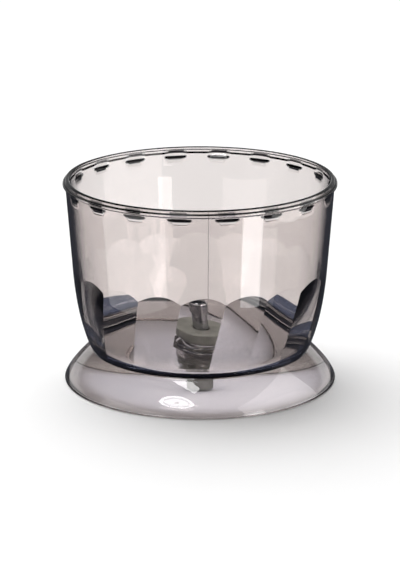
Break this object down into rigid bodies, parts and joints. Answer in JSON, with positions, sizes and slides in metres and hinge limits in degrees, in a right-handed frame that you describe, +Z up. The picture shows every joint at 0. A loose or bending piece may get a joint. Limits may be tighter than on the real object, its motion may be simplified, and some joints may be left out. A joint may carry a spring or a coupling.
{
  "type": "chopper bowl",
  "caption": "Clear chopper bowl for a hand blender, with a swirled faceted lower wall, a flared foot and a steel blade pin standing in a plastic hub.",
  "frame": {"origin": "centre of the flared foot, on the worktop that the bowl stands on", "axes": "+Z up along the blade pin, -Y towards the front, +X to the right seen from the front"},
  "size_m": [0.1266, 0.1268, 0.0959],
  "materials": {
    "clear_plastic": "clear, slightly smoke-tinted moulded plastic, polished",
    "hub_plastic": "dark olive-grey moulded plastic, satin",
    "pin_steel": "polished stainless steel, turned",
    "seal_rubber": "black rubber",
    "clip_steel": "spring steel, dull"
  },
  "bodies": {
    "root": {"bowl": "clear_plastic", "pin_hub": "hub_plastic", "blade_pin": "pin_steel", "hub_seal": "seal_rubber", "retaining_clip": "clip_steel"}
  },
  "joints": []
}
